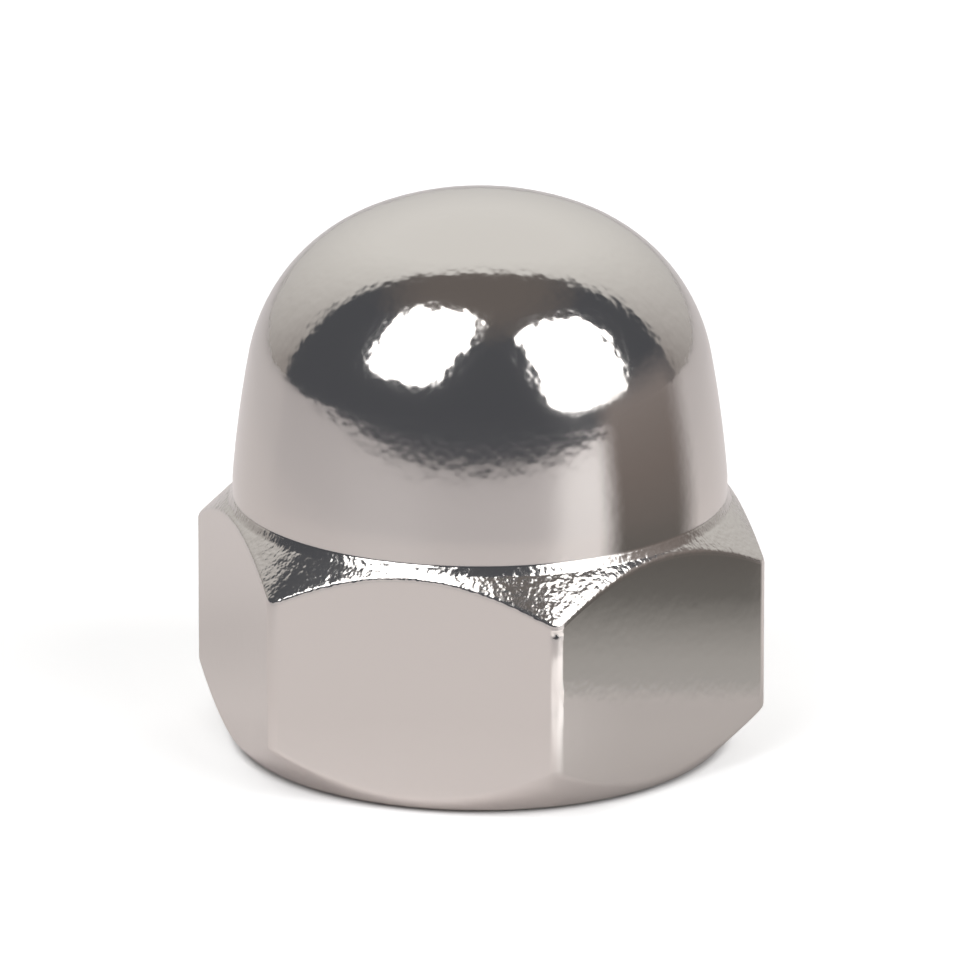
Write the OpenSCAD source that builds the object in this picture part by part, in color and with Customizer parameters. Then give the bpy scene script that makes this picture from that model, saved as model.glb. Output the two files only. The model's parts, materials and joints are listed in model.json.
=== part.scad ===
// Domed cap nut for an M10 x 1.5 screw: one piece of metal, a chamfered hexagon that runs up
// into a closed, rounded cap, with a blind threaded hole in the bearing face.
// The bearing face lies at z = 0, centred on the origin. The cap points up, and two flats
// face -Y and +Y. The helix of the thread is left out: the hole is bored to its crests.

/* [Hexagon] */
// Width across the flats, which is the spanner size
across_flats = 16; // [14.5:0.1:18]
// Height of the hexagon, up to the top of the arc on each flat
hexagon_h = 7.6; // [6:0.1:10]
// Slope of the cone that cuts the upper corners, in degrees from level
upper_chamfer = 45; // [30:1:50]
// Slope of the cone that cuts the lower corners, in degrees from level
lower_chamfer = 46; // [25:1:60]
// Distance from the rim of the flat bearing face out to the flats
face_inset = 0.4; // [0.1:0.1:1]

/* [Cap] */
// Overall height, from the bearing face to the crown
total_h = 17.5; // [16:0.1:24]
// Distance from the flats in to the foot of the cap
cap_inset = 0.1; // [0.1:0.1:1]
// Lean of the side of the cap, in degrees from upright
cap_draft = 7.7; // [1:0.1:10]
// Radius of the rounded shoulder, in side view
shoulder_r = 5.8; // [3:0.1:6.5]
// Radius of the crown, in side view
crown_r = 9.5; // [8.5:0.1:14]
// Radius of the hollow fillet around the foot of the cap
foot_fillet_r = 1; // [0.3:0.1:1.2]

/* [Threaded hole] */
// Nominal diameter of the thread, at its roots
thread_d = 10; // [8:0.1:11]
// Height of the thread, from its roots in to its crests
thread_h = 0.7; // [0.5:0.05:0.9]
// Gap between the thread's roots and the plain relief at the mouth, on the radius
relief_gap = 0.15; // [0.05:0.05:0.3]
// Depth of the relief, from the bearing face
relief_depth = 1.9; // [1.2:0.1:3]
// Width of the countersink around the mouth, on the radius
countersink_w = 0.8; // [0.3:0.1:1]
// Angle between opposite sides of the countersink and of the thread's lead-in, in degrees
mouth_angle = 90; // [80:1:120]
// Angle of the drill point that ends the hole, in degrees
drill_point = 118; // [90:1:140]
// Metal between the tip of the hole and the crown
crown_wall = 2.4; // [1:0.1:4]

/* [Hidden] */

// Turned faces in a full circle
$fn = 128;
// Straight steps along a curve of the outline, in degrees
arc_step = 3;
// How far a cut runs past the face that it opens
overcut = 1;

// Radii, from the hexagon in to the hole
flat_r = across_flats / 2;
corner_r = flat_r / cos(30);
bearing_face_r = flat_r - face_inset;
foot_r = flat_r - cap_inset;
relief_r = thread_d / 2 + relief_gap;
countersink_r = relief_r + countersink_w;
bore_r = thread_d / 2 - thread_h;

// The foot of the cap, where its side would meet the upper chamfer
foot_z = hexagon_h + cap_inset * tan(upper_chamfer);

// The crown's centre lies on the axis. The shoulder's centre keeps the shoulder touching both
// the side of the cap and the crown: shoulder_lift is its height above the crown's centre.
crown_z = total_h - crown_r;
lean = tan(cap_draft);
side_gap = foot_r - shoulder_r / cos(cap_draft) + (foot_z - crown_z) * lean;
shoulder_lift = (side_gap * lean + sqrt(pow(crown_r - shoulder_r, 2) * (1 + lean * lean)
    - side_gap * side_gap)) / (1 + lean * lean);
shoulder_centre = [side_gap - shoulder_lift * lean, crown_z + shoulder_lift];
crown_edge = atan2(shoulder_lift, shoulder_centre[0]);

// The fillet's centre stands off the side of the cap and the chamfer by the same radius
fillet_turn = 90 - upper_chamfer - cap_draft;
fillet_centre = [foot_r, foot_z]
    + foot_fillet_r / cos(fillet_turn / 2) * direction(cap_draft + fillet_turn / 2);

// Depths in the hole, from the bearing face
cone_rise = 1 / tan(mouth_angle / 2);
countersink_depth = countersink_w * cone_rise;
thread_start = relief_depth + (relief_r - bore_r) * cone_rise;
hole_tip = total_h - crown_wall;
bore_depth = hole_tip - bore_r / tan(drill_point / 2);

// Unit vector in side view, at an angle above the outward radius
function direction(angle) = [cos(angle), sin(angle)];

// Points along an arc in side view, both ends included
function arc(centre, r, from, to) =
    let (steps = ceil(abs(to - from) / arc_step))
    [for (i = [0 : steps]) centre + r * direction(from + (to - from) * i / steps)];

// Hexagon bar, as wide as the spanner size, with two flats square to the Y axis
module hexagon_bar() {
    cylinder(h = total_h, r = corner_r, $fn = 6);
}

// Cone that opens upwards from the bearing face and cuts the lower corners
module lower_cone() {
    cylinder(h = total_h, r1 = bearing_face_r, r2 = bearing_face_r + total_h / tan(lower_chamfer));
}

// Everything above the hexagon's arcs: the upper chamfer, the fillet and the closed cap.
// The crown's arc starts one step on from the end of the shoulder's.
module upper_outline() {
    rotate_extrude()
        polygon(concat(
            [[0, 0], [flat_r + hexagon_h / tan(upper_chamfer), 0]],
            arc(fillet_centre, foot_fillet_r, 270 - upper_chamfer, 180 + cap_draft),
            arc(shoulder_centre, shoulder_r, cap_draft, crown_edge),
            arc([0, crown_z], crown_r, crown_edge + arc_step, 90)
        ));
}

// The hole as a solid to cut: countersink, relief, lead-in, bore and drill point
module threaded_hole() {
    rotate_extrude()
        polygon([
            [0, -overcut],
            [countersink_r + overcut / cone_rise, -overcut],
            [relief_r, countersink_depth],
            [relief_r, relief_depth],
            [bore_r, thread_start],
            [bore_r, bore_depth],
            [0, hole_tip]
        ]);
}

module cap_nut() {
    color("silver")
        difference() {
            intersection() {
                hexagon_bar();
                lower_cone();
                upper_outline();
            }
            threaded_hole();
        }
}

cap_nut();
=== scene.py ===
# %% [markdown]
# # A domed cap nut, bright nickel plated
#
# This script dresses one small fastener: a hexagon that runs up into a closed, rounded cap,
# with a blind threaded hole in its flat underside. The construction model is loaded first and
# stays the frame that everything is measured from. The nut is then made again with rounded
# edges and a real thread, and gets its plating, its light and its camera.

import json
import math

import bmesh
import bpy
from mathutils import Matrix, Vector


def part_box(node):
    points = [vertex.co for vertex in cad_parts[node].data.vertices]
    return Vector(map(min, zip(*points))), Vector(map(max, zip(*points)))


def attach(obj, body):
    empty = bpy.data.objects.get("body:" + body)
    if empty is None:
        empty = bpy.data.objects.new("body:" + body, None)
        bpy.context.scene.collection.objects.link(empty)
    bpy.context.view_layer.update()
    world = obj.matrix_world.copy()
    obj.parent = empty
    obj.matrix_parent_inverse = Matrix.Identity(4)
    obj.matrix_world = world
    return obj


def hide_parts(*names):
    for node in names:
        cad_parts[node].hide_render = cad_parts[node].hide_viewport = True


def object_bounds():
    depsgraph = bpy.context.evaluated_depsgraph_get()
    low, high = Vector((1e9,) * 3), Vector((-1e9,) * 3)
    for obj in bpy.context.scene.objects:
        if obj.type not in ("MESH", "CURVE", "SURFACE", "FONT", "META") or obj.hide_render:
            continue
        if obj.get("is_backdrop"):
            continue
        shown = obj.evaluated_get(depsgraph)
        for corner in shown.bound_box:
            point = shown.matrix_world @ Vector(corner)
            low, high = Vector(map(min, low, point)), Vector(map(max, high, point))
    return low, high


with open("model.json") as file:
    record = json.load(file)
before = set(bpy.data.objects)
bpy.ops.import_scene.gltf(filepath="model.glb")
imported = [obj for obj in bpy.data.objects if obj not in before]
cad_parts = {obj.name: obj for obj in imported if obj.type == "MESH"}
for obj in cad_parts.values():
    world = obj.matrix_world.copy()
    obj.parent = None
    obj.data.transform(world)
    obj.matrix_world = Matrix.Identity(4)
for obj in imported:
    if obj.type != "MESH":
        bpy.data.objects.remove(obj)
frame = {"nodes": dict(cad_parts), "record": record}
cad_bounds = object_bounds()
print("construction model:", list(frame["nodes"]))

# %% [markdown]
# ## Working a thousand times too large
#
# Blender counts in metres, and the tolerances of its bevel and Boolean tools suit furniture,
# not a nut whose edges are rounded to a tenth of a millimetre. So one Blender unit stands for
# one millimetre while the nut is modelled, which also keeps the numbers plain, and the finished
# mesh is shrunk to its real size. The main sizes come from the construction model, so the two
# can't drift apart.

# %% Sizes in millimetres, from the frame
MM = 0.001

low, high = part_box("cap_nut")
corner_r = (high[0] - low[0]) / MM / 2
flat_r = (high[1] - low[1]) / MM / 2
total_h = (high[2] - low[2]) / MM

mounts = {mount["name"]: mount for mount in frame["record"]["mounts"]}
bore_r = mounts["thread"]["dims"]["r_mm"]
bore_start = mounts["thread"]["pos_m"][2] / MM
bore_depth = bore_start + mounts["thread"]["dims"]["length_mm"]
print(f"{2 * flat_r:.2f} across the flats, {2 * corner_r:.2f} across the corners")
print(f"{total_h:.2f} high, with a bore of radius {bore_r:.2f} down to {bore_depth:.2f}")

# %% [markdown]
# ## Three helpers for edit mode
#
# An operator acts on all that is selected. The construction model is selected once it is
# loaded, so each new piece starts by deselecting everything, and inside a piece the points,
# edges or faces are picked by a test of their place or their normal. The third helper counts
# what a Boolean or a bevel may leave behind: open edges, slivers and faces folded onto others.

# %% Deselect, select by a test, and inspect
same_place = 0.01
sliver_area = 1e-6
fold_angle = math.radians(155)


def deselect_all():
    bpy.ops.object.select_all(action="DESELECT")


def select_where(kind, wanted):
    """In edit mode, selects the VERTs, EDGEs or FACEs that pass the test, and counts them."""
    bpy.ops.mesh.select_mode(type=kind)
    bpy.ops.mesh.select_all(action="DESELECT")
    shape = bmesh.from_edit_mesh(bpy.context.object.data)
    elements = {"VERT": shape.verts, "EDGE": shape.edges, "FACE": shape.faces}[kind]
    found = [element for element in elements if wanted(element)]
    for element in found:
        element.select_set(True)
    shape.select_flush_mode()
    bmesh.update_edit_mesh(bpy.context.object.data)
    return len(found)


def inspect(piece):
    """Prints a mesh's count of faces and of faults, and its volume in cubic millimetres."""
    shape = bmesh.new()
    shape.from_mesh(piece.data)
    open_edges = sum(not edge.is_manifold for edge in shape.edges)
    slivers = sum(face.calc_area() < sliver_area for face in shape.faces)
    folds = sum(edge.calc_face_angle(0) > fold_angle for edge in shape.edges)
    print(
        f"{piece.name}: {len(shape.faces)} faces, {open_edges} open edges, {slivers} slivers, "
        f"{folds} folds, {shape.calc_volume():.1f} cubic mm"
    )
    shape.free()


# %% [markdown]
# ## The bar
#
# Cap nuts are cut from hexagon bar. Its six long edges are never sharp: rolling and plating
# leave them slightly round, and on a bright nut each one catches the light as a thin pale line.
# A primitive with six sides gives the bar at its size, and a bevel rounds the long edges. They
# are picked by direction: they are the only edges that run straight up.

# %% The hexagon bar with its rounded long edges
bar_edge_w = 0.28
bar_edge_steps = 5
bar_spare = 4
half_side_angle = math.radians(30)
straight_up = 0.999


def runs_up(edge):
    heading = (edge.verts[1].co - edge.verts[0].co).normalized()
    return abs(heading.z) > straight_up


deselect_all()
bpy.ops.mesh.primitive_cylinder_add(
    vertices=6,
    radius=corner_r,
    depth=total_h + bar_spare,
    location=(0, 0, total_h / 2),
    rotation=(0, 0, half_side_angle),
)
bar = bpy.context.object
bar.name = "bar"
bpy.ops.object.transform_apply(location=True, rotation=True)
bpy.ops.object.mode_set(mode="EDIT")
print("long edges:", select_where("EDGE", runs_up))
bpy.ops.mesh.bevel(offset=bar_edge_w, segments=bar_edge_steps, affect="EDGES")
bpy.ops.object.mode_set(mode="OBJECT")
inspect(bar)

# %% [markdown]
# ## A knocked edge
#
# Nuts are plated by the thousand in a turning barrel, and they knock against each other there.
# One edge of this nut took two knocks: a shallow one halfway down, where the pale line of the
# edge wavers, and a small nick just under its top. The rounded corner is cut into rows with
# bisect, and the points inside each row are pushed in and sideways by a few hundredths of a
# millimetre. The two points that a row shares with the flats stay, so the flats stay flat.

# %% Where the knocks are
knocked_corner = math.radians(-60)
outward = Vector((math.cos(knocked_corner), math.sin(knocked_corner), 0))
sideways = Vector((-outward.y, outward.x, 0))
half_corner_w = bar_edge_w * math.cos(half_side_angle)
shared_margin = 0.02
upright_normal = 0.1

# height of the row: how far it is pushed sideways and in
knocks = {
    3.1: (0.0, 0.0),
    3.5: (0.03, 0.02),
    3.8: (0.05, 0.05),
    4.1: (0.06, 0.06),
    4.4: (0.03, 0.02),
    4.9: (0.0, 0.0),
    5.95: (0.0, 0.0),
    6.08: (0.02, 0.03),
    6.18: (0.04, 0.05),
    6.28: (0.0, 0.0),
}


def on_knocked_corner(face):
    middle = face.calc_center_median()
    beside = abs(middle.dot(sideways)) < half_corner_w
    return beside and middle.dot(outward) > 0 and abs(face.normal.z) < upright_normal


def inside_row(z):
    """A test that picks a row's points, apart from the two it shares with the flats."""
    return lambda vert: (
        abs(vert.co.z - z) < same_place
        and vert.co.dot(outward) > 0
        and abs(vert.co.dot(sideways)) < half_corner_w - shared_margin
    )


print("knocked between", min(knocks), "and", max(knocks), "mm above the bearing face")

# %% Cut the rows and push them in
deselect_all()
bar.select_set(True)
bpy.ops.object.mode_set(mode="EDIT")
for z in knocks:
    select_where("FACE", on_knocked_corner)
    bpy.ops.mesh.bisect(plane_co=(0, 0, z), plane_no=(0, 0, 1))
for z, (aside, inward) in knocks.items():
    moved = select_where("VERT", inside_row(z))
    bpy.ops.transform.translate(value=sideways * aside - outward * inward)
    print(f"row at {z}: {moved} points pushed")
bpy.ops.object.mode_set(mode="OBJECT")
inspect(bar)

# %% [markdown]
# ## The turned blank
#
# Everything round about the nut is turned on a lathe: the flat bearing face, the cones that
# cut the hexagon's corners above and below, the cap, and the hole with its countersink and
# relief. A lathe makes all that from one outline, so the outline is drawn once, from the tip
# of the hole round to the crown, and spun about the axis. Straight stretches are extruded from
# the last point, and arcs are that point spun about their centre.


# %% Drawing an outline by extruding its last point
def start_outline(name, r, z):
    """A plane merged to one point, at a radius and height, in edit mode."""
    deselect_all()
    bpy.ops.mesh.primitive_plane_add(size=1, location=(0, 0, 0))
    outline = bpy.context.object
    outline.name = name
    bpy.ops.object.mode_set(mode="EDIT")
    bpy.ops.mesh.select_mode(type="VERT")
    bpy.ops.mesh.merge(type="CENTER")
    bpy.ops.transform.translate(value=(r, 0, z))
    return outline


def last_point():
    shape = bmesh.from_edit_mesh(bpy.context.object.data)
    return next(vert.co.copy() for vert in shape.verts if vert.select)


def line_to(r, z, steps=1):
    stride = (Vector((r, 0, z)) - last_point()) / steps
    for _ in range(steps):
        bpy.ops.mesh.extrude_region_move(TRANSFORM_OT_translate={"value": stride})


def arc_about(r, z, degrees, steps):
    bpy.ops.mesh.spin(
        steps=steps, angle=math.radians(degrees), center=(r, 0, z), axis=(0, 1, 0)
    )


def round_corner(r, z, width, segments=4):
    """Rounds the outline's corner at a radius and height, starting so far from it each way."""
    corner = Vector((r, 0, z))
    found = select_where("VERT", lambda vert: (vert.co - corner).length < same_place)
    bpy.ops.mesh.bevel(offset=width, segments=segments, affect="VERTICES")
    print(f"corner at {r:.2f}, {z:.2f}: {found} point made {segments + 1}")


# %% [markdown]
# The cap has three curves, each touching the next: a side that leans in and swells very
# slightly, a tight shoulder and a wide crown. The construction model has a straight side, and
# its shoulder is placed here in the same way, by geometry: the centre of the shoulder lies its
# own radius inside the side and the difference of the two radii from the crown's centre. The
# swell then leaves the shoulder without a kink. Its last half millimetre runs straight down,
# and the cone rises to meet it, steeper at the top, in a crease as tight as the edge of the
# forming tool. The cone steepens only inside the flats, so the arcs are cut in the plain cone.

# %% The shoulder touches the side and the crown
cap_inset = 0.143
hexagon_h = 7.6
upper_chamfer = math.radians(45)
cap_draft = math.radians(7.7)
shoulder_r = 5.8
crown_r = 9.5

foot_r = flat_r - cap_inset
foot_z = hexagon_h + cap_inset * math.tan(upper_chamfer)
crown_z = total_h - crown_r
lean = math.tan(cap_draft)
side_gap = foot_r - shoulder_r / math.cos(cap_draft) + (foot_z - crown_z) * lean
reach = (crown_r - shoulder_r) ** 2 * (1 + lean**2) - side_gap**2
shoulder_lift = (side_gap * lean + math.sqrt(reach)) / (1 + lean**2)
shoulder_centre = (side_gap - shoulder_lift * lean, crown_z + shoulder_lift)
crown_edge = math.atan2(shoulder_lift, shoulder_centre[0])
print(f"shoulder about {shoulder_centre[0]:.2f}, {shoulder_centre[1]:.2f}")

# %% The side swells
side_r = 38
side_top = math.radians(10.5)
side_foot = math.radians(4.5)

side_centre = (
    shoulder_centre[0] - (side_r - shoulder_r) * math.cos(side_top),
    shoulder_centre[1] - (side_r - shoulder_r) * math.sin(side_top),
)
side_start = (
    side_centre[0] + side_r * math.cos(side_foot),
    side_centre[1] + side_r * math.sin(side_foot),
)
print(f"side starts at {side_start[0]:.2f}, {side_start[1]:.2f}")

# %% The cone steepens and meets the cap in a tight crease
steep_inset = 0.1
steep_r = 0.3
steep_lean = math.radians(25)
crease_r = 0.3


def along_lean(point, distance, lean_back):
    """The point so far out from a surface that leans back by an angle."""
    return (
        point[0] + distance * math.cos(lean_back),
        point[1] + distance * math.sin(lean_back),
    )


steep_start = (flat_r - steep_inset, hexagon_h + steep_inset * math.tan(upper_chamfer))
steep_centre = along_lean(steep_start, steep_r, upper_chamfer)
steep_end = along_lean(steep_centre, -steep_r, steep_lean)
crease_start_r = side_start[0] + crease_r * (1 - math.cos(steep_lean))
crease_start_z = steep_end[1] + (steep_end[0] - crease_start_r) / math.tan(steep_lean)
crease_start = (crease_start_r, crease_start_z)
crease_centre = along_lean(crease_start, crease_r, steep_lean)
print(f"cone steepens from {steep_start[0]:.2f}, {steep_start[1]:.2f}")
print(f"crease at {crease_start_r:.2f}, {crease_start_z:.2f}")

# %% The bearing face and the two cones
face_inset = 0.4
lower_chamfer = math.radians(46)
blank_spare = 0.4

bearing_face_r = flat_r - face_inset
blank_r = corner_r + blank_spare
lower_cone_h = (blank_r - bearing_face_r) * math.tan(lower_chamfer)
upper_cone_z = hexagon_h - (blank_r - flat_r) * math.tan(upper_chamfer)
print(f"bearing face of radius {bearing_face_r:.2f}")
print(f"cones reach the blank's side at {lower_cone_h:.2f} and {upper_cone_z:.2f}")

# %% The hole: countersink, relief, bore and drill point
thread_root_r = 5.0
relief_gap = 0.15
countersink_w = 0.8
relief_depth = 1.9
drill_point = math.radians(118)
crest_wear = 0.06

relief_r = thread_root_r + relief_gap
countersink_r = relief_r + countersink_w
drill_r = bore_r - crest_wear
lead_in_end = relief_depth + relief_r - drill_r
tip_z = bore_depth + bore_r / math.tan(drill_point / 2)
drill_depth = tip_z - drill_r / math.tan(drill_point / 2)
print(f"relief {relief_r:.2f}, countersink {countersink_r:.2f}, tip of the hole at {tip_z:.2f}")

# %% Draw the outline, from the tip of the hole to the crown
turned = start_outline("turned", 0, tip_z)
line_to(drill_r, drill_depth, steps=3)
line_to(drill_r, lead_in_end, steps=8)
line_to(relief_r, relief_depth, steps=2)
line_to(relief_r, countersink_w)
line_to(countersink_r, 0)
line_to(bearing_face_r, 0, steps=2)
line_to(blank_r, lower_cone_h)
line_to(blank_r, upper_cone_z)
line_to(*steep_start)
arc_about(*steep_centre, -math.degrees(upper_chamfer - steep_lean), steps=3)
line_to(*crease_start)
arc_about(*crease_centre, -math.degrees(steep_lean), steps=3)
line_to(*side_start)
arc_about(*side_centre, math.degrees(side_top - side_foot), steps=10)
arc_about(*shoulder_centre, math.degrees(crown_edge - side_top), steps=24)
arc_about(0, crown_z, 90 - math.degrees(crown_edge), steps=12)
print("outline ends at", last_point())

# %% Round its corners
bearing_edge_w = 0.14
mouth_edge_w = 0.3
countersink_end_w = 0.1
relief_end_w = 0.12

round_corner(bearing_face_r, 0, bearing_edge_w)
round_corner(countersink_r, 0, mouth_edge_w, segments=6)
round_corner(relief_r, countersink_w, countersink_end_w)
round_corner(relief_r, relief_depth, relief_end_w)

# %% [markdown]
# The columns of the spin are turned by a third of a column, so that none of them runs through
# the rows of the bar's rounded corners, nor through those of the tap. Where two meshes share a
# line almost exactly, a Boolean leaves hair-thin faces, and a bevel folds them over.

# %% Spin the outline into the blank
columns = 192
merge_gap = 0.001

bpy.ops.mesh.select_all(action="SELECT")
bpy.ops.mesh.spin(steps=columns, angle=2 * math.pi, center=(0, 0, 0), axis=(0, 0, 1))
bpy.ops.mesh.select_all(action="SELECT")
bpy.ops.mesh.remove_doubles(threshold=merge_gap)
bpy.ops.transform.rotate(
    value=2 * math.pi / columns / 3, orient_axis="Z", center_override=(0, 0, 0)
)
bpy.ops.mesh.normals_make_consistent(inside=False)
bpy.ops.object.mode_set(mode="OBJECT")
inspect(turned)

# %% [markdown]
# ## Bar and blank together
#
# The nut is what the bar and the turned shape have in common, just as the lathe leaves only
# what is in both. Where the cones meet the flats they draw the six arcs that every hexagon nut
# has, and these come out of the Boolean by themselves. The arcs are then rounded by little more
# than a tenth of a millimetre, but that is what makes the dark line and the glint beside it.


# %% Keep what bar and blank share
def combine(piece, tool, operation):
    """Applies a Boolean to a piece and throws its tool away."""
    deselect_all()
    piece.select_set(True)
    bpy.context.view_layer.objects.active = piece
    cut = piece.modifiers.new(operation.lower(), "BOOLEAN")
    cut.operation = operation
    cut.object = tool
    cut.solver = "EXACT"
    bpy.ops.object.modifier_apply(modifier=cut.name)
    bpy.data.objects.remove(tool)


combine(bar, turned, "INTERSECT")
nut = bar
nut.name = "plated_cap_nut"
inspect(nut)

# %% Round the arcs
arc_edge_w = 0.12
arc_sharpness = math.radians(22)
arcs_from_r = bearing_face_r + 0.2
knocked_from_z, knocked_to_z = min(knocks) - 0.5, max(knocks) + 0.05


def is_arc(edge):
    """Outside the bearing face, and off the knocked edge, only the arcs are this sharp."""
    middle = (edge.verts[0].co + edge.verts[1].co) / 2
    outside = math.hypot(middle.x, middle.y) > arcs_from_r
    knocked = knocked_from_z < middle.z < knocked_to_z
    return outside and not knocked and edge.calc_face_angle(0) > arc_sharpness


bpy.ops.object.mode_set(mode="EDIT")
print("edges in the arcs:", select_where("EDGE", is_arc))
bpy.ops.mesh.bevel(offset=arc_edge_w, segments=3, affect="EDGES")
bpy.ops.object.mode_set(mode="OBJECT")
inspect(nut)

# %% [markdown]
# ## The thread
#
# The construction model's hole is a plain cylinder as wide as the thread's crests. The real
# one is cut by a tap, so this one is too: a tap is modelled as a solid screw and taken away
# from the nut. Its outline is one turn of the thread, drawn up the side, and the Screw modifier
# winds it upwards by one pitch a turn. Its crests and roots are slightly rounded, as on a used
# tap. Both ends are cut off square, the lower one inside the relief and the upper one short of
# the hole's bottom, where a tap can't reach.

# %% The outline of one turn
pitch = 1.5
flank = math.radians(30)
root_w = 0.2
crest_rounding = 0.16
root_rounding = 0.07

flank_w = (thread_root_r - bore_r) * math.tan(flank)
crest_w = pitch - root_w - 2 * flank_w
half_crest = crest_w / 2

tap = start_outline("tap", bore_r, -pitch)
line_to(bore_r, half_crest - pitch)
line_to(thread_root_r, half_crest + flank_w - pitch)
line_to(thread_root_r, half_crest + flank_w + root_w - pitch)
line_to(bore_r, -half_crest)
line_to(bore_r, 0)
round_corner(bore_r, half_crest - pitch, crest_rounding)
round_corner(bore_r, -half_crest, crest_rounding)
round_corner(thread_root_r, half_crest + flank_w - pitch, root_rounding, segments=2)
round_corner(thread_root_r, half_crest + flank_w + root_w - pitch, root_rounding, segments=2)
bpy.ops.object.mode_set(mode="OBJECT")
print(f"crest {crest_w:.2f} wide, thread {thread_root_r - bore_r:.2f} deep")

# %% Wind it up and cut both ends off
tap_start = 1.45
tap_end = 10.2
tap_turns = 8

winding = tap.modifiers.new("winding", "SCREW")
winding.axis = "Z"
winding.angle = 2 * math.pi
winding.screw_offset = pitch
winding.iterations = tap_turns
winding.steps = columns // 2
winding.use_merge_vertices = False
bpy.ops.object.modifier_apply(modifier="winding")
bpy.ops.object.mode_set(mode="EDIT")
bpy.ops.mesh.select_all(action="SELECT")
bpy.ops.mesh.remove_doubles(threshold=merge_gap)
for end_z, way_out in ((tap_start, -1), (tap_end, 1)):
    bpy.ops.mesh.select_all(action="SELECT")
    bpy.ops.mesh.bisect(
        plane_co=(0, 0, end_z), plane_no=(0, 0, way_out), use_fill=True, clear_outer=True
    )
bpy.ops.mesh.select_all(action="SELECT")
bpy.ops.mesh.normals_make_consistent(inside=False)
bpy.ops.object.mode_set(mode="OBJECT")
inspect(tap)

# %% Cut the thread
combine(nut, tap, "DIFFERENCE")
inspect(nut)

# %% [markdown]
# ## Merged, smoothed and shrunk
#
# The Booleans leave a few points closer together than a hair's breadth, and these are merged.
# Faces that meet at less than 32 degrees are shaded as one surface, and the rest stay crisp.
# The nut is then shrunk to its real size, and weighted normals let the large flats decide the
# shading along their rounded edges, so that no gradient creeps into a face that is flat.

# %% Merge, smooth and shrink
last_merge_gap = 0.003
smooth_below = math.radians(32)

bpy.ops.object.mode_set(mode="EDIT")
bpy.ops.mesh.select_all(action="SELECT")
bpy.ops.mesh.remove_doubles(threshold=last_merge_gap)
bpy.ops.mesh.normals_make_consistent(inside=False)
bpy.ops.object.mode_set(mode="OBJECT")
bpy.ops.object.shade_smooth_by_angle(angle=smooth_below)
inspect(nut)

nut.scale = (MM, MM, MM)
bpy.ops.object.transform_apply(location=False, rotation=False, scale=True)
flats_lead = nut.modifiers.new("flats_lead", "WEIGHTED_NORMAL")
flats_lead.keep_sharp = True
bpy.ops.object.modifier_apply(modifier="flats_lead")

# %% The nut takes the construction model's place
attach(nut, "root")
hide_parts("cap_nut")
print(nut.name, "measures", [round(side / MM, 2) for side in nut.dimensions], "mm")

# %% [markdown]
# ## Three helpers for materials
#
# Colours are written as sRGB hex values, as a paint chart gives them, and the first function
# turns them to the linear values that the shaders count in. The second adds a node: what it is
# given as an input is linked when it is a node or a socket, and set when it is a plain value.
# The third starts a material with no nodes in it.


# %% Colours and nodes
def linear(hex_colour):
    levels = [int(hex_colour[i : i + 2], 16) / 255 for i in (1, 3, 5)]
    return [v / 12.92 if v <= 0.04045 else ((v + 0.055) / 1.055) ** 2.4 for v in levels] + [1]


def add_node(tree, kind, inputs=None, **settings):
    """Adds a node. Given a node as an input, it links that node's first output in use."""
    node = tree.nodes.new(kind)
    for name, value in settings.items():
        setattr(node, name, value)
    for name, value in (inputs or {}).items():
        if isinstance(value, bpy.types.Node):
            value = next(socket for socket in value.outputs if socket.enabled)
        if isinstance(value, bpy.types.NodeSocket):
            tree.links.new(value, node.inputs[name])
        else:
            node.inputs[name].default_value = value
    return node


print("a middle grey, #808080, is", [round(level, 3) for level in linear("#808080")])


def new_material(name):
    material = bpy.data.materials.new(name)
    material.use_nodes = True
    material.node_tree.nodes.clear()
    return material, material.node_tree


# %% [markdown]
# ## Bright nickel plate
#
# Nickel is a pale, slightly warm metal. Over polished steel it is nearly a mirror, so its look
# is almost all reflection, and what tells it from chrome is the warmth and a faint waviness:
# polishing leaves dips of four to fourteen thousandths of a millimetre, each about half a
# millimetre across, which break up the borders of whatever is mirrored in it. The polishing
# wheel presses well on the flats and the side of the cap, and poorly on the round shoulder. It
# never gets into the corner between cone and cap, where the roughness that the turning tool
# left still sparkles.
#
# Both kinds of unevenness are noise in a bump, on the nut's own coordinates. How strong they
# are follows from how far the surface leans back, and the grain is kept to the cone by height.

# %% How uneven the surface is
PER_METRE = 1000
wave_mm = 0.42
grain_mm = 0.2
wave_on_sides = 0.004 * MM
wave_on_shoulder = 0.014 * MM
grain_on_cone = 0.023 * MM

plate, tree = new_material("bright_nickel_plate")
where = add_node(tree, "ShaderNodeTexCoord")
waves = add_node(
    tree,
    "ShaderNodeTexNoise",
    {"Vector": where.outputs["Object"], "Scale": PER_METRE / wave_mm, "Detail": 1.0},
)
grain = add_node(
    tree,
    "ShaderNodeTexNoise",
    {"Vector": where.outputs["Object"], "Scale": PER_METRE / grain_mm, "Detail": 1.0},
)
print("waves of", wave_mm, "mm, grain of", grain_mm, "mm")

# %% Where the surface leans back, and where it is the cone
side_lean, shoulder_lean = 0.15, 0.5
cone_gone, cone_whole = 8.3 * MM, 7.9 * MM

level = add_node(tree, "ShaderNodeSeparateXYZ", {0: where.outputs["Object"]})
facing = add_node(tree, "ShaderNodeSeparateXYZ", {0: where.outputs["Normal"]})
leans_back = add_node(
    tree,
    "ShaderNodeMapRange",
    {"Value": facing.outputs["Z"], "From Min": side_lean, "From Max": shoulder_lean},
    interpolation_type="SMOOTHSTEP",
)
below_cap = add_node(
    tree,
    "ShaderNodeMapRange",
    {"Value": level.outputs["Z"], "From Min": cone_gone, "From Max": cone_whole},
    interpolation_type="SMOOTHSTEP",
)
on_cone = add_node(tree, "ShaderNodeMath", {0: leans_back, 1: below_cap}, operation="MULTIPLY")
print("grain up to", round(cone_gone / MM, 1), "mm above the table")

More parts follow.
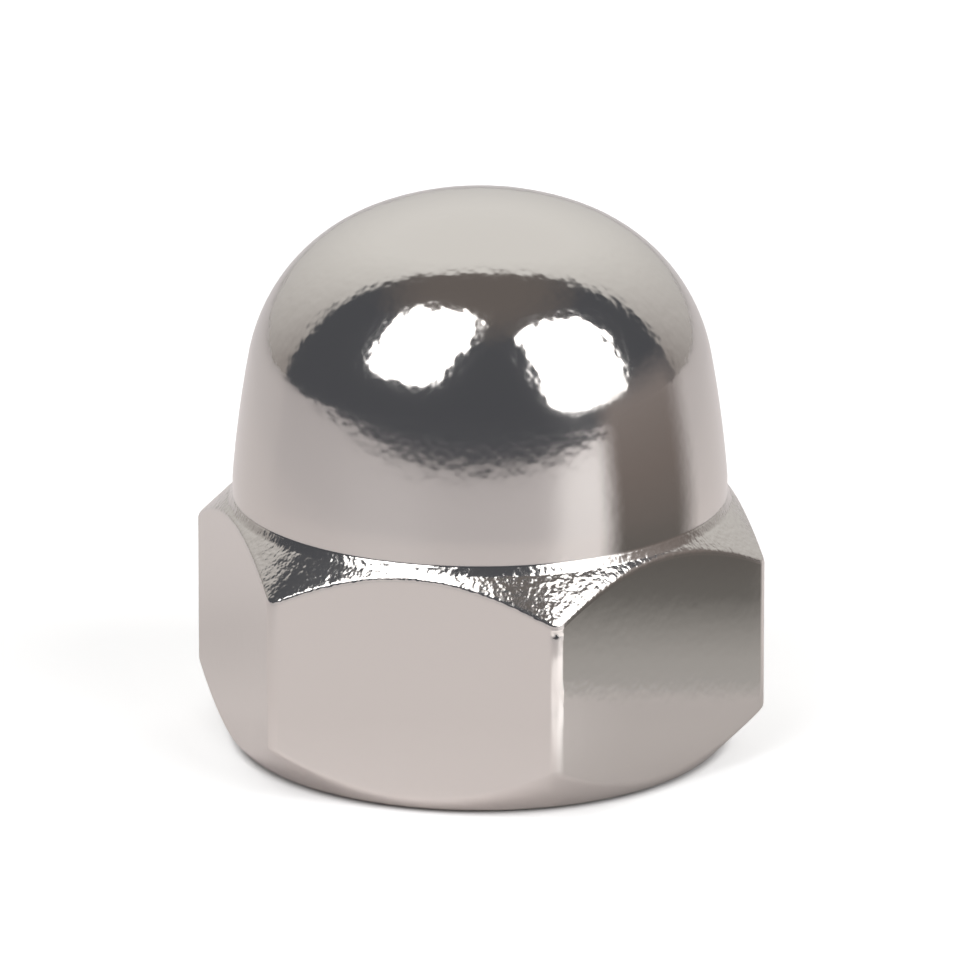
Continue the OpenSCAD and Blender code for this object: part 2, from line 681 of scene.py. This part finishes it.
# %% The bump that both make
wave_h = add_node(
    tree,
    "ShaderNodeMapRange",
    {"Value": leans_back, "To Min": wave_on_sides, "To Max": wave_on_shoulder},
)
grain_h = add_node(tree, "ShaderNodeMath", {0: on_cone, 1: grain_on_cone}, operation="MULTIPLY")
wavy = add_node(
    tree, "ShaderNodeMath", {0: waves.outputs["Fac"], 1: wave_h}, operation="MULTIPLY"
)
uneven = add_node(
    tree,
    "ShaderNodeMath",
    {0: grain.outputs["Fac"], 1: grain_h, 2: wavy},
    operation="MULTIPLY_ADD",
)
unevenness = add_node(tree, "ShaderNodeBump", {"Height": uneven, "Distance": 1.0})
print(f"waves {wave_on_shoulder / MM:.3f} mm high, grain {grain_on_cone / MM:.3f} mm")

# %% [markdown]
# Deep in the blind hole, and only within the radius of the relief, the colour turns darker and
# greyer and the roughness rises with depth. The turned cone is a touch less polished than the
# rest.

# %% How deep in the hole a point lies
dull_from, dull_to = 1.0 * MM, 6.0 * MM
hole_r = (relief_r + 0.1) * MM
hole_top = (tip_z + 0.3) * MM

flat_place = add_node(
    tree,
    "ShaderNodeVectorMath",
    {0: where.outputs["Object"], 1: (1, 1, 0)},
    operation="MULTIPLY",
)
from_axis = add_node(tree, "ShaderNodeVectorMath", {0: flat_place}, operation="LENGTH")
in_hole = add_node(
    tree,
    "ShaderNodeMath",
    {0: from_axis.outputs["Value"], 1: hole_r},
    operation="LESS_THAN",
)
in_metal = add_node(
    tree,
    "ShaderNodeMapRange",
    {"Value": level.outputs["Z"], "From Min": dull_from, "From Max": dull_to},
)
deep = add_node(tree, "ShaderNodeMath", {0: in_hole, 1: in_metal}, operation="MULTIPLY")
below_tip = add_node(
    tree,
    "ShaderNodeMath",
    {0: level.outputs["Z"], 1: hole_top},
    operation="LESS_THAN",
)
dull = add_node(tree, "ShaderNodeMath", {0: deep, 1: below_tip}, operation="MULTIPLY")
print("dull within", round(hole_r / MM, 2), "mm of the axis, up to", round(hole_top / MM, 2), "mm")

# %% The metal
# deeper in the hole the colour turns darker and greyer
bright_nickel, thin_nickel = linear("#DAD6D2"), linear("#9A938B")
bright_roughness, thin_roughness = 0.09, 0.32
rougher_on_cone = 0.06

colour = add_node(
    tree,
    "ShaderNodeMix",
    {"Factor": dull, "A": bright_nickel, "B": thin_nickel},
    data_type="RGBA",
)
polish = add_node(
    tree,
    "ShaderNodeMapRange",
    {"Value": dull, "To Min": bright_roughness, "To Max": thin_roughness},
)
roughness = add_node(
    tree,
    "ShaderNodeMath",
    {0: on_cone, 1: rougher_on_cone, 2: polish},
    operation="MULTIPLY_ADD",
)
metal = add_node(
    tree,
    "ShaderNodeBsdfPrincipled",
    {"Base Color": colour, "Metallic": 1.0, "Roughness": roughness, "Normal": unevenness},
)
add_node(tree, "ShaderNodeOutputMaterial", {"Surface": metal})
nut.data.materials.clear()
nut.data.materials.append(plate)
print(plate.name, "has", len(tree.nodes), "nodes")

# %% [markdown]
# ## The camera
#
# The camera looks a little down on the nut and sees one corner nearer than the others. It
# stands about 25 nut heights away with a long lens, as for small parts, so that the hexagon's
# verticals stay parallel. Every other direction in the studio is given from the camera's: so
# many degrees to its right, and so many above the table.

# %% Directions and the camera
camera_azimuth = math.radians(15)
camera_elevation = 18.1
camera_distance = 0.45
camera_lens = 540
aim_z = 8.3
aim = Vector((0, 0, aim_z * MM))


def toward(azimuth, elevation):
    a, e = camera_azimuth + math.radians(azimuth), math.radians(elevation)
    return Vector((math.sin(a) * math.cos(e), -math.cos(a) * math.cos(e), math.sin(e)))


back = toward(0, camera_elevation)
bpy.ops.object.camera_add(location=aim + back * camera_distance)
camera = bpy.context.object
camera.rotation_euler = back.to_track_quat("Z", "Y").to_euler()
camera.data.lens = camera_lens
camera.data.clip_start, camera.data.clip_end = 0.01, 5
bpy.context.scene.camera = camera
print("camera at", [round(v, 3) for v in camera.location])

# %% [markdown]
# ## Two softboxes
#
# Two large softboxes stand in front of the nut, left and right, and the metal shows them as
# two white patches on the shoulder and as glints along the cone. A softbox is not evenly
# bright: its cloth falls off towards the frame and its corners stay dark. The lamps get that
# from their own coordinates: where the sum of the fourth powers of the two distances from the
# middle reaches 1, the light is gone, which is a square with well rounded corners.

# %% The softboxes
softbox_distance = 0.6
softbox_glow = 3.0
# azimuth and elevation of the place and of the way it faces, roll, and size over distance
softboxes = {
    "left_softbox": {
        "place": (-46.6, 51.8),
        "faces": (-16, 25),
        "roll": -17.2,
        "size": (0.79, 0.98),
    },
    "right_softbox": {
        "place": (60.8, 36.3),
        "faces": (37.7, 12.2),
        "roll": 3.2,
        "size": (0.87, 1.08),
    },
}
for name, box in softboxes.items():
    bpy.ops.object.light_add(type="AREA")
    lamp = bpy.context.object
    lamp.name = name
    lamp.matrix_world = (
        Matrix.Translation(aim + toward(*box["place"]) * softbox_distance)
        @ toward(*box["faces"]).to_track_quat("Z", "Y").to_matrix().to_4x4()
        @ Matrix.Rotation(math.radians(box["roll"]), 4, "Z")
    )
    lamp.data.shape = "RECTANGLE"
    lamp.data.size, lamp.data.size_y = (softbox_distance * side for side in box["size"])
    lamp.data.energy = softbox_glow * math.pi * lamp.data.size * lamp.data.size_y
    lamp.visible_camera = False
    print(name, f"{lamp.data.size:.2f} by {lamp.data.size_y:.2f} m, {lamp.data.energy:.1f} W")

# %% Their cloth
cloth_gone, cloth_whole = 1.0, 0.75

for name in softboxes:
    lamp = bpy.data.objects[name]
    lamp.data.use_nodes = True
    cloth = lamp.data.node_tree
    cloth.nodes.clear()
    spread = add_node(cloth, "ShaderNodeNewGeometry")
    from_middle = add_node(
        cloth,
        "ShaderNodeVectorMath",
        {0: spread.outputs["Parametric"], 1: (2, 2, 0), 2: (-1, -1, 0)},
        operation="MULTIPLY_ADD",
    )
    squared = add_node(
        cloth, "ShaderNodeVectorMath", {0: from_middle, 1: from_middle}, operation="MULTIPLY"
    )
    fourth = add_node(
        cloth, "ShaderNodeVectorMath", {0: squared, 1: squared}, operation="DOT_PRODUCT"
    )
    falloff = add_node(
        cloth,
        "ShaderNodeMapRange",
        {"Value": fourth.outputs["Value"], "From Min": cloth_gone, "From Max": cloth_whole},
        interpolation_type="SMOOTHSTEP",
    )
    light = add_node(cloth, "ShaderNodeEmission", {"Strength": falloff})
    add_node(cloth, "ShaderNodeOutputLight", {"Surface": light})
    print(name, "cloth has", len(cloth.nodes), "nodes")

# %% [markdown]
# ## A glowing card beside the nut, a painted reflection
#
# A mirror needs something dark to mirror, or its form is lost. A small card stands just off the
# nut's right-hand side, and its greys glow of their own, unlit by the lamps: a painted reflection
# that puts painted shade on the upper part of the flat there and a soft upright band on the cap.
# Its borders fade out, as an out-of-focus card's would, and it is for the metal's reflections
# alone: it throws no shadow and the camera doesn't see it.

# %% The card
across = toward(90, 0)
along = toward(0, 0)
card_distance = 14 * MM
card_rear, card_front = -1.5 * MM, 14 * MM
card_h = 17 * MM

deselect_all()
bpy.ops.mesh.primitive_plane_add(size=1)
card = bpy.context.object
card.name = "grey_card"
bpy.ops.object.mode_set(mode="EDIT")
bpy.ops.mesh.select_all(action="SELECT")
bpy.ops.transform.resize(value=(card_front - card_rear, card_h, 1))
bpy.ops.transform.rotate(value=math.pi / 2, orient_axis="X", center_override=(0, 0, 0))
bpy.ops.transform.translate(value=((card_rear + card_front) / 2, 0, card_h / 2))
bpy.ops.object.mode_set(mode="OBJECT")
card.rotation_euler.z = math.atan2(along.y, along.x)
card.location = across * card_distance
bpy.ops.object.transform_apply(location=True, rotation=True, scale=True)
card.visible_camera = card.visible_diffuse = False
card.visible_shadow = card.visible_transmission = False
card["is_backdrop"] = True
print("card", [round(side / MM, 1) for side in card.dimensions], "mm")

# %% Its greys, which glow as a painted reflection
card_tones = (
    (0.0, "#BDBBB9"),
    (0.09, "#B3B1AE"),
    (0.14, "#A19F9C"),
    (0.21, "#757370"),
    (0.28, "#6C6966"),
    (0.55, "#827975"),
    (1.0, "#A09896"),
)


def set_tones(ramp, stops):
    """Gives a colour ramp its tones, each at its share of the way."""
    for share, tone in stops[1:-1]:
        ramp.color_ramp.elements.new(share)
    for element, (share, tone) in zip(ramp.color_ramp.elements, stops):
        element.position, element.color = share, linear(tone)


greys, tree = new_material("feathered_grey_card")
on_card = add_node(tree, "ShaderNodeTexCoord")
height = add_node(tree, "ShaderNodeSeparateXYZ", {0: on_card.outputs["Object"]})
up = add_node(tree, "ShaderNodeMapRange", {"Value": height.outputs["Z"], "From Max": card_h})
card_ramp = add_node(tree, "ShaderNodeValToRGB", {"Fac": up})
set_tones(card_ramp, card_tones)
print("card tones:", [tone for share, tone in card_tones])

# %% Its faded borders
forward = add_node(
    tree, "ShaderNodeVectorMath", {0: on_card.outputs["Object"], 1: along}, operation="DOT_PRODUCT"
)
# each border: the socket it is measured on, where the card is gone, and where it is whole
borders = (
    (forward.outputs["Value"], card_front, 9.5 * MM),
    (forward.outputs["Value"], card_rear, 3 * MM),
    (height.outputs["Z"], 0, 0.8 * MM),
    (height.outputs["Z"], card_h, 12 * MM),
)
cover = 1.0
for measure, gone, whole in borders:
    border = add_node(
        tree,
        "ShaderNodeMapRange",
        {"Value": measure, "From Min": gone, "From Max": whole},
        interpolation_type="SMOOTHSTEP",
    )
    cover = add_node(tree, "ShaderNodeMath", {0: border, 1: cover}, operation="MULTIPLY")
grey = add_node(tree, "ShaderNodeEmission", {"Color": card_ramp})
nothing = add_node(tree, "ShaderNodeBsdfTransparent")
feathered = add_node(tree, "ShaderNodeMixShader", {0: cover, 1: nothing, 2: grey})
add_node(tree, "ShaderNodeOutputMaterial", {"Surface": feathered})
card.data.materials.append(greys)
print(greys.name, "fades at", len(borders), "borders")

# %% [markdown]
# ## The room and the paper behind
#
# The rest of what the metal mirrors is the studio: a dark room in front, slightly warmer
# overhead, and behind the nut a wide sheet of pale paper that rises and curves forward. The
# world is painted by direction. How far the paper reaches is one dot product with the
# direction behind the nut, and how brightly it is lit is another, with one that leans up to the
# lamps. The camera itself sees plain white, so that the background is white without any more
# light falling on the nut.

# %% Where the paper reaches, and where it is lit
behind = toward(180, 0)
paper_rise, lamp_rise = 0.13, 1.1
paper_gone, paper_whole = 0.34, 0.42
overhead_from, overhead_to = 0.75, 0.98
dim_at, bright_at = 0.5, 1.4

world = bpy.data.worlds.new("studio")
bpy.context.scene.world = world
world.use_nodes = True
sky = world.node_tree
sky.nodes.clear()
direction = add_node(sky, "ShaderNodeTexCoord")
upward = add_node(sky, "ShaderNodeSeparateXYZ", {0: direction.outputs["Generated"]})
backward = add_node(
    sky,
    "ShaderNodeVectorMath",
    {0: direction.outputs["Generated"], 1: (behind.x, behind.y, paper_rise)},
    operation="DOT_PRODUCT",
)
lit = add_node(
    sky,
    "ShaderNodeVectorMath",
    {0: direction.outputs["Generated"], 1: (behind.x, behind.y, lamp_rise)},
    operation="DOT_PRODUCT",
)
overhead = add_node(
    sky,
    "ShaderNodeMapRange",
    {"Value": upward.outputs["Z"], "From Min": overhead_from, "From Max": overhead_to},
    interpolation_type="SMOOTHSTEP",
)
on_paper = add_node(
    sky,
    "ShaderNodeMapRange",
    {"Value": backward.outputs["Value"], "From Min": paper_gone, "From Max": paper_whole},
    interpolation_type="SMOOTHSTEP",
)
brightness = add_node(
    sky,
    "ShaderNodeMapRange",
    {"Value": lit.outputs["Value"], "From Min": dim_at, "From Max": bright_at},
)
print("the paper is behind the nut, toward", [round(v, 2) for v in behind])

# %% The studio's tones
room_tone, overhead_tone = linear("#55575C"), linear("#726C69")
paper_dim, paper_bright = linear("#A39E9B"), linear("#F1F0ED")

room = add_node(
    sky,
    "ShaderNodeMix",
    {"Factor": overhead, "A": room_tone, "B": overhead_tone},
    data_type="RGBA",
)
paper = add_node(
    sky,
    "ShaderNodeMix",
    {"Factor": brightness, "A": paper_dim, "B": paper_bright},
    data_type="RGBA",
)
studio = add_node(
    sky, "ShaderNodeMix", {"Factor": on_paper, "A": room, "B": paper}, data_type="RGBA"
)
sky_rays = add_node(sky, "ShaderNodeLightPath")
seen = add_node(
    sky,
    "ShaderNodeMix",
    {"Factor": sky_rays.outputs["Is Camera Ray"], "A": studio, "B": (1, 1, 1, 1)},
    data_type="RGBA",
)
glow = add_node(sky, "ShaderNodeBackground", {"Color": seen})
add_node(sky, "ShaderNodeOutputWorld", {"Surface": glow})
print(world.name, "has", len(sky.nodes), "nodes")

# %% [markdown]
# ## The table
#
# The nut stands on a sheet of satin paper, with a gap under it no wider than a hair, whose
# shadow draws a dark line round the foot. The sheet has a hole under the nut's mouth and is
# clear from below, so that the thread can be looked at from underneath.

# %% The sheet with its hole
table_gap = 0.04 * MM
table_r, table_hole_r = 0.7, 0.007
table_sides = 96

deselect_all()
bpy.ops.mesh.primitive_circle_add(
    vertices=table_sides, radius=table_r, fill_type="NGON", location=(0, 0, -table_gap)
)
table = bpy.context.object
table.name = "table"
bpy.ops.object.mode_set(mode="EDIT")
bpy.ops.mesh.select_mode(type="FACE")
bpy.ops.mesh.select_all(action="SELECT")
bpy.ops.mesh.inset(thickness=table_r * math.cos(math.pi / table_sides) - table_hole_r)
bpy.ops.mesh.delete(type="FACE")
bpy.ops.object.mode_set(mode="OBJECT")
bpy.ops.object.transform_apply(location=True)
table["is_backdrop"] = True
print("table:", len(table.data.polygons), "faces, looking", table.data.polygons[0].normal)

# %% [markdown]
# In the metal the table is the pale lower half of everything, so its tones are the nut's tones.
# Light and shade are painted into the paper's colour: painted light close by, where the bright
# flats would throw light back on it, painted shade further out, where the paper falls off, and a
# patch of painted shade beside the card, which calms the foot of the flat on the right.

# %% The paper's painted light and shade round the nut
near_tones = ((0.0, "#F8F1F0"), (0.13, "#ECE5E4"), (1.0, "#DBD6D7"))
near, distant = 9 * MM, 70 * MM
shade_tone = "#D0CBCA"
shade_centre = across * 12 * MM + along * 6 * MM
shade_r, shade_core_r = 13 * MM, 6 * MM

sheet, tree = new_material("satin_paper")
on_sheet = add_node(tree, "ShaderNodeTexCoord")
away = add_node(tree, "ShaderNodeVectorMath", {0: on_sheet.outputs["Object"]}, operation="LENGTH")
far = add_node(
    tree,
    "ShaderNodeMapRange",
    {"Value": away.outputs["Value"], "From Min": near, "From Max": distant},
)
paper_ramp = add_node(tree, "ShaderNodeValToRGB", {"Fac": far})
set_tones(paper_ramp, near_tones)

# painted shade beside the card: the paper turns greyer towards a point near the card's foot
from_shade = add_node(
    tree,
    "ShaderNodeVectorMath",
    {0: on_sheet.outputs["Object"], 1: shade_centre},
    operation="DISTANCE",
)
shade = add_node(
    tree,
    "ShaderNodeMapRange",
    {"Value": from_shade.outputs["Value"], "From Min": shade_r, "From Max": shade_core_r},
    interpolation_type="SMOOTHSTEP",
)
paper_tone = add_node(
    tree,
    "ShaderNodeMix",
    {"Factor": shade, "A": paper_ramp, "B": linear(shade_tone)},
    data_type="RGBA",
)
print("tones from", near / MM, "to", distant / MM, "mm:", [tone for share, tone in near_tones])

# %% [markdown]
# A sheen is painted on the satin sheet as a glow of its own, where it would throw some of the
# right-hand softbox back. Only the nut's nearest long edge looks that way, and the painted sheen
# is what turns it into the thin pale line that shows where two flats meet, and that wavers where
# the edge was knocked.

# %% The painted sheen that lights the nearest edge
sheen_centre = across * 12 * MM + along * 21 * MM
sheen_r, sheen_core_r = 15 * MM, 6 * MM
sheen_glow = 0.45
satin_roughness = 0.4
satin_gloss = 0.15

from_sheen = add_node(
    tree,
    "ShaderNodeVectorMath",
    {0: on_sheet.outputs["Object"], 1: sheen_centre},
    operation="DISTANCE",
)
# painted sheen: the paper glows white here for reflections, strongest in the middle of the spot
sheen = add_node(
    tree,
    "ShaderNodeMapRange",
    {
        "Value": from_sheen.outputs["Value"],
        "From Min": sheen_r,
        "From Max": sheen_core_r,
        "To Max": sheen_glow,
    },
    interpolation_type="SMOOTHSTEP",
)
satin = add_node(
    tree,
    "ShaderNodeBsdfPrincipled",
    {
        "Base Color": paper_tone,
        "Roughness": satin_roughness,
        "Specular IOR Level": satin_gloss,
        "Emission Color": (1, 1, 1, 1),
        "Emission Strength": sheen,
    },
)
print("sheen", round(sheen_centre.length / MM), "mm from the axis")

# %% [markdown]
# For the camera the paper is plain, and lifted by a glow of its own until it reaches white, so
# that only the nut's soft shadow is left of it. The glow stops at the bearing face, which keeps
# the gap under the nut dark.

# %% White for the camera, with the shadow left
lift_glow = 0.4
lift_w = 0.35
lift_from = bearing_face_r * MM
lift_to = (bearing_face_r + lift_w) * MM
plain_tone = "#E6E6E6"

lift_strength = add_node(
    tree,
    "ShaderNodeMapRange",
    {
        "Value": away.outputs["Value"],
        "From Min": lift_from,
        "From Max": lift_to,
        "To Max": lift_glow,
    },
)
lift = add_node(tree, "ShaderNodeEmission", {"Color": (1, 1, 1, 1), "Strength": lift_strength})
plain = add_node(tree, "ShaderNodeBsdfDiffuse", {"Color": linear(plain_tone)})
lifted = add_node(tree, "ShaderNodeAddShader", {0: plain, 1: lift})
sheet_rays = add_node(tree, "ShaderNodeLightPath")
from_above = add_node(
    tree, "ShaderNodeMixShader", {0: sheet_rays.outputs["Is Camera Ray"], 1: satin, 2: lifted}
)
sheet_side = add_node(tree, "ShaderNodeNewGeometry")
clear = add_node(tree, "ShaderNodeBsdfTransparent")
paper_sheet = add_node(
    tree, "ShaderNodeMixShader", {0: sheet_side.outputs["Backfacing"], 1: from_above, 2: clear}
)
add_node(tree, "ShaderNodeOutputMaterial", {"Surface": paper_sheet})
table.data.materials.append(sheet)
print(sheet.name, "has", len(tree.nodes), "nodes")

# %% [markdown]
# ## Finish
#
# The view transform stays plain, so a colour renders as it is written. The box of the
# construction model and that of the dressed nut are printed side by side for comparison: the
# rounding may only take material away, so the second must lie inside the first.

# %% Print both boxes
bpy.context.scene.view_settings.view_transform = "Standard"

made_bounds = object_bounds()
boxes = {
    "cad": [list(corner) for corner in cad_bounds],
    "visual": [list(corner) for corner in made_bounds],
}
print(boxes)
